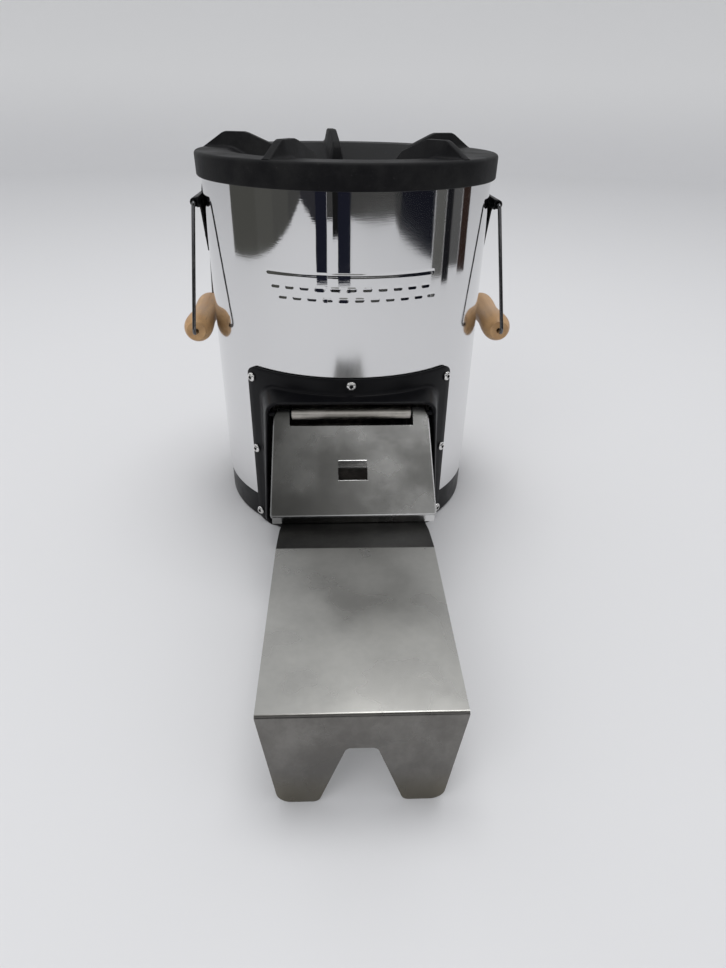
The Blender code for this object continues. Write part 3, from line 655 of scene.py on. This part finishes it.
def front_bezel(finish):
    """Pressed frame: flange on the body, crease, flared walls, rounded rim and a short throat."""
    radius = 119.4
    flange = radius * math.sin(math.radians(44.5))
    front, low, high = bezel_low.y + 0.1, 21.5, 137.0
    throat = 62.9
    loops = [
        frame_loop(flange, flange, 0.8, 152.0, 8.0, on_body(radius)),
        frame_loop(flange - 4.0, flange - 4.0, 4.5, 148.5, 7.0, on_body(radius)),
        frame_loop(75.2, 76.8, 14.6, 141.4, 15.0, on_body(radius)),
        frame_loop(74.0, 76.0, 15.6, 140.0, 14.0, on_body(radius + 0.15)),
        frame_loop(73.0, 75.4, 16.6, 138.9, 13.0, on_body(radius + 0.9)),
        frame_loop(72.2, 75.0, 17.4, 138.3, 12.5, on_body(radius + 2.0)),
        frame_loop(67.0, 73.8, low, high, 10.2, in_plane(front + 2.9)),
        frame_loop(66.6, 73.5, low + 0.2, high - 0.2, 10.0, in_plane(front + 1.6)),
        frame_loop(66.0, 73.0, low + 0.6, high - 0.6, 9.8, in_plane(front + 0.5)),
        frame_loop(65.2, 72.3, low + 1.3, high - 1.3, 9.4, in_plane(front)),
        frame_loop(64.5, 71.6, low + 2.0, high - 2.0, 9.0, in_plane(front + 0.4)),
        frame_loop(64.0, 71.1, low + 2.6, high - 2.6, 8.6, in_plane(front + 1.6)),
        frame_loop(throat + 0.6, 70.0, low + 4.4, high - 3.4, 6.0, in_plane(front + 5.0)),
        frame_loop(throat, throat, 27.3, 133.4, 3.0, in_plane(-117.8)),
    ]
    bm = bmesh.new()
    skin_rings(bm, [[bm.verts.new(point) for point in loop] for loop in loops])
    add_piece("bezel_pressed", bm, finish, "stove", ["front_bezel"], 60.0,
              [sheet_wall(1.0), bevel(0.25, 2, 60.0)], fix_normals=False)


# ---------------------------------------------------------------- fasteners
def point_out(bm, angle, height):
    """Turn a shape drawn along +Z so that it points out of the body at an angle from the front."""
    bmesh.ops.rotate(bm, verts=bm.verts, cent=(0, 0, 0), matrix=Matrix.Rotation(math.radians(90.0), 3, "X"))
    bmesh.ops.rotate(bm, verts=bm.verts, cent=(0, 0, 0), matrix=Matrix.Rotation(math.radians(angle), 3, "Z"))
    bmesh.ops.translate(bm, verts=bm.verts, vec=(0.0, 0.0, height))
    return bm


def head_profile(head, seat, dome, socket, depth):
    """Outline of a round head; the last points are its socket."""
    top = seat + 0.5 + dome
    rise = [(head * math.cos(math.radians(a)), seat + 0.5 + dome * math.sin(math.radians(a)))
            for a in (0.0, 15.0, 30.0, 45.0, 58.0, 66.0)]
    return ([(0.0, seat - 2.0), (1.6, seat - 2.0), (1.6, seat), (head - 0.15, seat), (head, seat + 0.15)] + rise
            + [(socket + 0.25, top), (socket, top - 0.15), (socket * 0.94, top - depth), (0.0, top - depth)])


def screw_head(name, node, angle, height, finish, shade_paint):
    """Bright button head with a star socket; its dark inside is a black disc of painted shade."""
    socket = 1.95
    profile = head_profile(3.8, 119.7, 1.7, socket, 2.1)
    last_round = len(profile) - 5

    def star(radius, turn, index):
        return radius if index < last_round + 1 else radius * (1.0 + 0.13 * math.cos(6.0 * turn))

    bm = point_out(turned(profile, 48, star), angle, height)
    add_piece(name, bm, finish, "stove", [node], 40.0)
    # Painted shade: a black disc at the bottom of each socket darkens the recess.
    seat = 119.7 + 0.5 + 1.7 - 1.2
    shade_disc = [(0.0, seat - 0.9), (socket * 0.84, seat - 0.9), (socket * 0.84, seat), (0.0, seat)]
    add_piece(name.replace("head", "socket_shade_paint"), point_out(turned(shade_disc, 24), angle, height), shade_paint, "stove")


def rivet_head(name, node, angle, height, finish):
    profile = head_profile(3.0, BODY_RADIUS + 2.2, 1.1, 0.5, 0.3)
    add_piece(name, point_out(turned(profile, 32), angle, height), finish, "stove", [node], 40.0)


def node_centre(node):
    low, high = box_mm(node)
    return (low + high) / 2.0


def fasteners(bright, black):
    for node in sorted(frame["nodes"]):
        centre = node_centre(node)
        angle = math.degrees(math.atan2(centre.x, -centre.y))
        if node.startswith("bezel_screw"):
            screw_head(node.replace("bezel_screw", "screw_head"), node, angle, centre.z, bright, black)
        elif "_bracket_rivet_" in node:
            rivet_head(node.replace("_rivet_", "_rivet_head_"), node, angle, centre.z, black)


# ---------------------------------------------------------------- hinge and door
def lathe_x(stations, centre, segments, bm=None):
    """Closed solid of revolution about a line along X from (radius, x) pairs."""
    bm = bm or bmesh.new()
    rings = [[bm.verts.new((x, y, z)) for y, z in circle(centre, radius, segments)] for radius, x in stations]
    skin_rings(bm, rings, close=True)
    return bm


def hinge(finish, dark):
    centre = (HINGE.y, HINGE.z)
    half, outer = tube_high.x, tube_high.z - HINGE.z
    bore = 2.3
    stations = [(bore, -half), (outer - 0.7, -half), (outer - 0.2, 0.2 - half), (outer, 0.8 - half),
                (outer, half - 0.8), (outer - 0.2, half - 0.2), (outer - 0.7, half), (bore, half)]
    add_piece("hinge_roller", lathe_x(stations, centre, 64), finish, "stove", ["hinge_tube"], 50.0)
    reach, radius = pin_high.x, 2.0
    stations = [(0.01, -reach), (radius - 0.5, -reach), (radius, 0.5 - reach), (radius, reach - 0.5),
                (radius - 0.5, reach), (0.01, reach)]
    bm = bmesh.new()
    rings = [[bm.verts.new((x, y, z)) for y, z in circle(centre, r, 32)] for r, x in stations]
    skin_rings(bm, rings)
    bm.faces.new(rings[0])
    bm.faces.new(rings[-1])
    add_piece("hinge_rod", bm, dark, "stove", ["hinge_pin"], 40.0)


DOOR_FACE = 3.0
DOOR_LENGTH = 84.0
DOOR_SWING = 48.0
DOOR_SPREAD = 1.5
WINDOW_TOP = -39.0
WINDOW_BOTTOM = -56.0
WINDOW_HALF_WIDTH = 11.0
NOTCH_BOTTOM = -11.5
NOTCH_HALF_WIDTH = 48.3


def hang_door(bm):
    """Place a shape drawn hanging straight down from the hinge where the door rests."""
    turn = Matrix.Rotation(math.radians(-DOOR_SWING), 3, "X")
    bmesh.ops.rotate(bm, verts=bm.verts, cent=(0, 0, 0), matrix=turn)
    bmesh.ops.translate(bm, verts=bm.verts, vec=(0.0, HINGE.y, HINGE.z))
    return bm


def door(finish):
    """Bent sheet with ears, a notch for the tube, a finger window with its tab, side flanges and a lip."""
    heights = (3.6, -4.5, NOTCH_BOTTOM, -25.0, WINDOW_TOP, -47.5, WINDOW_BOTTOM, -68.0)
    rows = [(-DOOR_FACE, z) for z in heights]
    swing = math.radians(DOOR_SWING)
    lip_end = Vector((-DOOR_FACE, -DOOR_LENGTH)) + 6.0 * Vector((math.sin(swing), -math.cos(swing)))
    bend = rounded([rows[-1], (-DOOR_FACE, -DOOR_LENGTH), tuple(lip_end)], [0.0, 3.2, 0.0], steps=10)
    rows += bend[1:]
    flange_depth, corner, edge = 9.0, 1.6, 61.0
    arc = [(-edge + corner * (1.0 - math.sin(math.radians(a))), corner * (1.0 - math.cos(math.radians(a))))
           for a in (90.0, 67.5, 45.0, 22.5, 0.0)]
    columns = [(-edge, flange_depth)] + arc + [(-NOTCH_HALF_WIDTH, 0.0), (-30.0, 0.0), (-WINDOW_HALF_WIDTH, 0.0)]
    columns += [(-x, depth) for x, depth in reversed(columns)]
    middle = len(columns) // 2
    last_flange_row = len(rows) - len(bend) + 1
    bm = bmesh.new()
    grid = []
    for x, depth in columns:
        line = []
        for row, (y, z) in enumerate(rows):
            outer = abs(x) > 50.0
            spread = DOOR_SPREAD * min(1.0, -z / DOOR_LENGTH) if outer else 0.0
            chamfer = -2.2 if outer and row == 0 else 0.0
            line.append(bm.verts.new((math.copysign(abs(x) + spread + chamfer, x), y + depth, z)))
        grid.append(line)
    for c in range(len(columns) - 1):
        in_flange = c < 5 or c > len(columns) - 7
        for r in range(len(rows) - 1):
            in_notch = r < 2 and 5 < c < len(columns) - 7
            in_window = r in (4, 5) and c == middle - 1
            past_flange = in_flange and r >= last_flange_row
            if not (in_notch or in_window or past_flange):
                bm.faces.new([grid[c][r + 1], grid[c + 1][r + 1], grid[c + 1][r], grid[c][r]])
    tab_line = [(-DOOR_FACE, WINDOW_TOP + 9.0), (-DOOR_FACE, WINDOW_TOP - 1.6),
                (-DOOR_FACE - 6.4, WINDOW_TOP - 8.6)]
    tab = rounded(tab_line, [0.0, 2.4, 0.0], steps=8)
    left, right = grid[middle - 1][4], grid[middle][4]
    for y, z in tab[2:]:
        next_left = bm.verts.new((-WINDOW_HALF_WIDTH, y, z))
        next_right = bm.verts.new((WINDOW_HALF_WIDTH, y, z))
        bm.faces.new([next_left, next_right, right, left])
        left, right = next_left, next_right
    hang_door(bm)
    add_piece("door_sheet", bm, finish, "door", ["door_panel"], 20.0,
              [sheet_wall(1.2), bevel(0.22, 2, 50.0)], fix_normals=False)


# ---------------------------------------------------------------- fuel shelf
SHELF_YAW = math.radians(-0.8)
SHELF_YAW_Y = -190.0
SHELF_FRONT = -367.4
SHELF_BEND = -228.5


def askew(bm):
    """The shelf lies a little out of square with the body, as it was pushed in by hand."""
    turn = Matrix.Rotation(SHELF_YAW, 3, "Z")
    bmesh.ops.rotate(bm, verts=bm.verts, cent=(0.0, SHELF_YAW_Y, 0.0), matrix=turn)
    return bm


def fuel_shelf(finish):
    """One bent sheet: legs in front, flat top, and a tongue that slopes into the feed tunnel."""
    front, half, top_z, tongue_end = SHELF_FRONT, 54.85, shelf_high.z, -75.5
    top = [(front, 0.0), (front, top_z), (SHELF_BEND, top_z), (-150.0, 58.0), (tongue_end, 31.2)]
    path = rounded(top, [0.0, 2.2, 6.0, 20.0, 0.0], steps=8)
    outline = path + list(reversed(offset_path(path, 1.5)))
    leg = [(-half, 71.0), (-46.2, 0.0), (-23.8, 0.0), (-8.2, 46.4)]
    leg_line = leg + [(-x, z) for x, z in reversed(leg)]
    leg_line = rounded(leg_line, [0.0, 8.5, 4.5, 3.5, 3.5, 4.5, 8.5, 0.0], steps=12)
    below = leg_line + [(60.0, 70.0), (60.0, -6.0), (-60.0, -6.0), (-60.0, 70.0)]
    legs = loose_object("cut_legs", askew(prism(below, "Y", front - 8.0, front + 8.0)))
    tongue = [(-half - 0.05, -202.0), (-52.5, -172.0), (-51.0, tongue_end + 0.5)]
    tongue_line = tongue + [(-x, y) for x, y in reversed(tongue)]
    tongue_line = rounded(tongue_line, [0.0, 10.0, 9.0, 9.0, 10.0, 0.0], steps=10)
    beyond = tongue_line + [(62.0, -202.0), (62.0, -60.0), (-62.0, -60.0), (-62.0, -202.0)]
    sides = loose_object("cut_tongue", askew(prism(beyond, "Z", 20.0, 80.0)))
    add_piece("shelf_sheet", askew(prism(outline, "X", -half, half)), finish, "shelf",
              ["fuel_shelf"], 20.0, [boolean(legs), boolean(sides), bevel(0.25, 2, 50.0)])
    for helper in (legs, sides):
        bpy.data.objects.remove(helper)


# ---------------------------------------------------------------- handles
def bracket(label, side, finish):
    """Flat pointed plate on the side of the body whose knuckle runs round the wire."""
    pivot = joint_at(f"{label}_bail_swing")
    low, high = box_mm(f"{label}_bracket")
    foot, tip, half, knuckle = low.z, high.z, high.y, 3.4
    back, face = BODY_RADIUS + 0.5, BODY_RADIUS + 1.9
    eye = circle((abs(pivot.x), pivot.z), knuckle, 24, -90.0, 180.0)
    outline = [(back, foot), (face, foot), (face, pivot.z - knuckle)] + eye
    outline += [(face, pivot.z + knuckle), (face, tip + 0.5), (back, tip + 0.5)]
    outline = [(side * x, z) for x, z in outline]
    bore = loose_object("cut_bore", prism(circle((pivot.x, pivot.z), 2.0, 32), "Y", -half - 5.0, half + 5.0))
    edge, under, over = half + 2.0, pivot.z - knuckle - 0.4, pivot.z + knuckle + 0.3
    crown = rounded([(-edge, over), (-7.0, over + 0.7), (0.0, tip - 0.1), (7.0, over + 0.7), (edge, over)],
                    [0.0, 4.0, 0.8, 4.0, 0.0], steps=6)
    above = crown + [(edge, tip + 6.0), (-edge, tip + 6.0)]
    skirt = rounded([(-edge, under), (-22.5, under), (-19.0, under - 3.5), (-4.0, foot + 0.4), (4.0, foot + 0.4),
                     (19.0, under - 3.5), (22.5, under), (edge, under)],
                    [0.0, 1.0, 4.0, 2.5, 2.5, 4.0, 1.0, 0.0], steps=6)
    below = skirt + [(edge, foot - 6.0), (-edge, foot - 6.0)]
    cutters = [bore] + [loose_object("cut_plate", prism(shape, "X", side * 112.0, side * 132.0))
                        for shape in (above, below)]
    add_piece(f"{label}_bracket_strap", prism(outline, "Y", -half, half), finish, "stove",
              [f"{label}_bracket"], 35.0, [boolean(cutter) for cutter in cutters] + [bevel(0.3, 2, 40.0)])
    for helper in cutters:
        bpy.data.objects.remove(helper)


GRIP_HALF = 45.0


def bail(label, finish):
    """Bent wire through the bracket's knuckle, down two legs, and into both ends of the grip."""
    pivot = joint_at(f"{label}_bail_swing")
    centre = joint_at(f"{label}_grip_turn")
    top_half, half_span, inside = 36.0, 54.5, GRIP_HALF - 14.0
    drop = (centre - pivot).length
    flat = [(-inside, drop), (-half_span, drop), (-top_half, 0.0),
            (top_half, 0.0), (half_span, drop), (inside, drop)]
    flat = rounded(flat, [0.0, 4.0, 4.0, 4.0, 4.0, 0.0], steps=10)
    down = (centre - pivot).normalized()
    across = Vector((0.0, 1.0, 0.0))
    normal = across.cross(down)
    points = [pivot + across * u + down * v for u, v in flat]
    bm = bmesh.new()
    rings = []
    for i, point in enumerate(points):
        tangent = (points[min(i + 1, len(points) - 1)] - points[max(i - 1, 0)]).normalized()
        width = tangent.cross(normal)
        rings.append([bm.verts.new(point + normal * u + width * v) for u, v in circle((0.0, 0.0), 1.5, 20)])
    skin_rings(bm, rings)
    bm.faces.new(rings[0])
    bm.faces.new(rings[-1])
    add_piece(f"{label}_bail_wire", bm, finish, f"{label}_handle", [f"{label}_bail"], 50.0)


def grip(label, finish):
    """Turned grip with a bulge near each end, a slim waist, rounded ends and a bore for the wire."""
    half, top, bore = GRIP_HALF, 12.0, 2.0
    centre = joint_at(f"{label}_grip_turn")
    count = 64
    skin = []
    for i in range(count + 1):
        along = -1.0 + 2.0 * i / count
        bulge = top - 1.5 * math.cos(math.pi * min(abs(along) / 0.68, 1.0) * 0.5) ** 2
        end = max(0.0, (abs(along) - 0.68) / 0.32)
        skin.append((bulge - 4.2 * end ** 2.4, half * along))
    profile = [(bore, 0.6 - half), (bore + 0.4, -half)] + skin + [(bore + 0.4, half), (bore, half - 0.6)]
    bm = turned(profile, 64)
    bmesh.ops.rotate(bm, verts=bm.verts, cent=(0, 0, 0), matrix=Matrix.Rotation(math.radians(90.0), 3, "X"))
    bmesh.ops.translate(bm, verts=bm.verts, vec=centre)
    add_piece(f"{label}_grip_turned", bm, finish, f"{label}_handle_grip", [f"{label}_grip"], 40.0)


# ---------------------------------------------------------------- stage, camera, lights
def stage():
    """Plain pale floor that rises to a pale wall far behind and all round; the wall is painted lighter than the
    floor to make up for the less light it gets.
    """
    profile = [(0.0, -0.5)] + circle((3200.0, 799.5), 800.0, 16, -90.0, 90.0) + [(4000.0, 1000.0)]
    bm = bmesh.new()
    rings = []
    for radius, height in profile:
        count = 96 if radius > 0.0 else 1
        rings.append([bm.verts.new((radius * math.cos(2.0 * math.pi * i / count) * MM,
                                    radius * math.sin(2.0 * math.pi * i / count) * MM, height * MM))
                      for i in range(count)])
    skin_rings(bm, rings)
    mesh = bpy.data.meshes.new("floor")
    bm.to_mesh(mesh)
    bm.free()
    mesh.shade_smooth()
    thing = bpy.data.objects.new("floor", mesh)
    bpy.context.scene.collection.objects.link(thing)
    paper = Finish("floor_paper", (0.70, 0.70, 0.71), 0.9)
    split = paper.node("ShaderNodeSeparateXYZ")
    paper.link(paper.place, split.inputs[0])
    # Painted light: the wall is coloured lighter than the floor to make up for the light it lacks.
    wall = paper.ramp(split.outputs[2], 0.02, 0.5, 0.0, 1.0)
    paper.colour(paper.mix(wall, (0.70, 0.70, 0.71), (0.84, 0.84, 0.84)))
    mesh.materials.append(paper.material)


def reflected_card(name, corners, tone):
    """A glowing panel that only shows in reflections, as a studio's dark and light flags do."""
    mesh = bpy.data.meshes.new(name)
    mesh.from_pydata([Vector(c) * MM for c in corners], [], [tuple(range(len(corners)))])
    paint = bpy.data.materials.new(name)
    paint.use_nodes = True
    paint.node_tree.nodes.clear()
    glow = paint.node_tree.nodes.new("ShaderNodeEmission")
    glow.inputs["Color"].default_value = (*tone, 1.0)
    out = paint.node_tree.nodes.new("ShaderNodeOutputMaterial")
    paint.node_tree.links.new(glow.outputs[0], out.inputs["Surface"])
    mesh.materials.append(paint)
    thing = bpy.data.objects.new(name, mesh)
    bpy.context.scene.collection.objects.link(thing)
    thing.visible_camera = False
    thing.visible_diffuse = False
    thing.visible_shadow = False
    thing.visible_transmission = False


# The dark room in front of the stove: from and to azimuth, lower edge at each, distance, tone
DARK_ROOM = [
    (-98, -72, 0, 0, 1250, (0.075, 0.075, 0.068)),
    (-72, -57, 0, 25, 1250, (0.085, 0.085, 0.078)),
    (-57, -44, 25, 74, 1250, (0.075, 0.075, 0.07)),
    (-44, -35, 74, 135, 1250, (0.06, 0.06, 0.058)),
    (-35, -24, 135, 78, 1250, (0.03, 0.03, 0.035)),
    (-24, -16, 0, 0, 1010, (0.012, 0.013, 0.022)),
    (-16, -12, 90, 90, 1250, (0.05, 0.05, 0.05)),
    (-12, -8, 50, 50, 1250, (0.01, 0.01, 0.01)),
    (-8, 1, 0, 0, 1010, (0.012, 0.013, 0.022)),
    (1, 33, 95, 95, 1250, (0.06, 0.06, 0.058)),
    (33, 38, 95, 60, 1250, (0.04, 0.04, 0.04)),
    (38, 66, 60, 0, 1250, (0.008, 0.009, 0.014)),
    (66, 76, 0, 0, 1060, (0.11, 0.11, 0.105)),
    (76, 83, 0, 0, 1000, (0.01, 0.01, 0.012)),
    (83, 94, 0, 0, 1150, (0.1, 0.1, 0.1)),
    (94, 104, 0, 0, 1080, (0.03, 0.018, 0.015)),
]
ROOM_HEIGHT = 420.0


def on_circle(azimuth, radius, height):
    angle = math.radians(azimuth)
    return (radius * math.sin(angle), -radius * math.cos(angle), height)


def dark_room():
    for i, (first, last, low_first, low_last, radius, tone) in enumerate(DARK_ROOM):
        corners = [on_circle(first, radius, low_first), on_circle(last, radius, low_last),
                   on_circle(last, radius, ROOM_HEIGHT), on_circle(first, radius, ROOM_HEIGHT)]
        reflected_card(f"card_{i + 1}", corners, tone)
    near, far, height = -1900.0, -260.0, 1800.0
    ceiling = [(-1500.0, near, height), (1500.0, near, height), (1500.0, far, height), (-1500.0, far, height)]
    reflected_card("card_ceiling", ceiling, (0.17, 0.17, 0.165))


def camera():
    pose = {"yaw": math.radians(3.43), "pitch": math.radians(31.52), "roll": math.radians(0.98)}
    yaw, pitch, roll = pose["yaw"], pose["pitch"], pose["roll"]
    forward = Vector((math.sin(yaw) * math.cos(pitch), math.cos(yaw) * math.cos(pitch), -math.sin(pitch)))
    right = Vector((math.cos(yaw), -math.sin(yaw), 0.0))
    up = right.cross(forward)
    right, up = (right * math.cos(roll) + up * math.sin(roll), up * math.cos(roll) - right * math.sin(roll))
    data = bpy.data.cameras.new("camera")
    data.sensor_width = 36.0
    data.lens = 36.0 * 0.65
    thing = bpy.data.objects.new("camera", data)
    bpy.context.scene.collection.objects.link(thing)
    turn = Matrix((right, up, -forward)).transposed().to_4x4()
    thing.matrix_world = Matrix.Translation((-0.0169, -0.5764, 0.3378)) @ turn
    bpy.context.scene.camera = thing


def area_light(name, place, target, size, power, tint=(1.0, 1.0, 1.0)):
    data = bpy.data.lights.new(name, "AREA")
    data.shape = "RECTANGLE"
    data.size, data.size_y = size
    data.energy = power
    data.color = tint
    thing = bpy.data.objects.new(name, data)
    bpy.context.scene.collection.objects.link(thing)
    thing.location = place
    thing.rotation_euler = (Vector(target) - Vector(place)).to_track_quat("-Z", "Y").to_euler()
    return thing


def lights():
    world = bpy.data.worlds.new("studio")
    bpy.context.scene.world = world
    world.use_nodes = True
    background = world.node_tree.nodes["Background"]
    background.inputs["Color"].default_value = (0.93, 0.94, 0.96, 1.0)
    background.inputs["Strength"].default_value = 0.76
    area_light("overhead", (0.1, 0.1, 2.1), (0.0, -0.1, 0.1), (1.2, 0.8), 14.0)
    front = area_light("front", (-0.9, -1.4, 1.5), (0.0, -0.1, 0.1), (1.0, 1.0), 6.0)
    front.visible_glossy = False
    bpy.context.scene.view_settings.view_transform = "Standard"


def cad_finishes(iron, dark_mottle, fibre):
    """Better materials on the CAD nodes that stay."""
    groups = (
        (dark_mottle, "scaled_steel", ("chimney_tube", "feed_tunnel", "top_collar")),
        (fibre, "ceramic_fibre", ("upper_insulation", "lower_insulation")),
        (iron, "black_enamel", ("casting_screw_1", "casting_screw_2", "casting_screw_3")),
    )
    for finish, slot_name, nodes in groups:
        for node in nodes:
            thing = frame["nodes"][node]
            thing.data.materials.clear()
            thing.data.materials.append(finish)


def build():
    mirror, bright, iron = polished_steel(), bright_zinc(), cast_iron()
    enamel, wire, wood = black_enamel(), black_wire(), beech()
    outer_shell(mirror)
    base_pan(enamel)
    pot_support_casting(iron)
    front_bezel(enamel)
    fasteners(bright, enamel)
    hinge(roller_steel(), enamel)
    door(door_steel())
    fuel_shelf(shelf_steel(SHELF_YAW, SHELF_FRONT, SHELF_BEND))
    for label, side in (("left", -1.0), ("right", 1.0)):
        bracket(label, side, enamel)
        bail(label, wire)
        grip(label, wood)
    cad_finishes(iron, sooty_steel(), ceramic_fibre())
    stage()
    dark_room()
    camera()
    lights()


build()
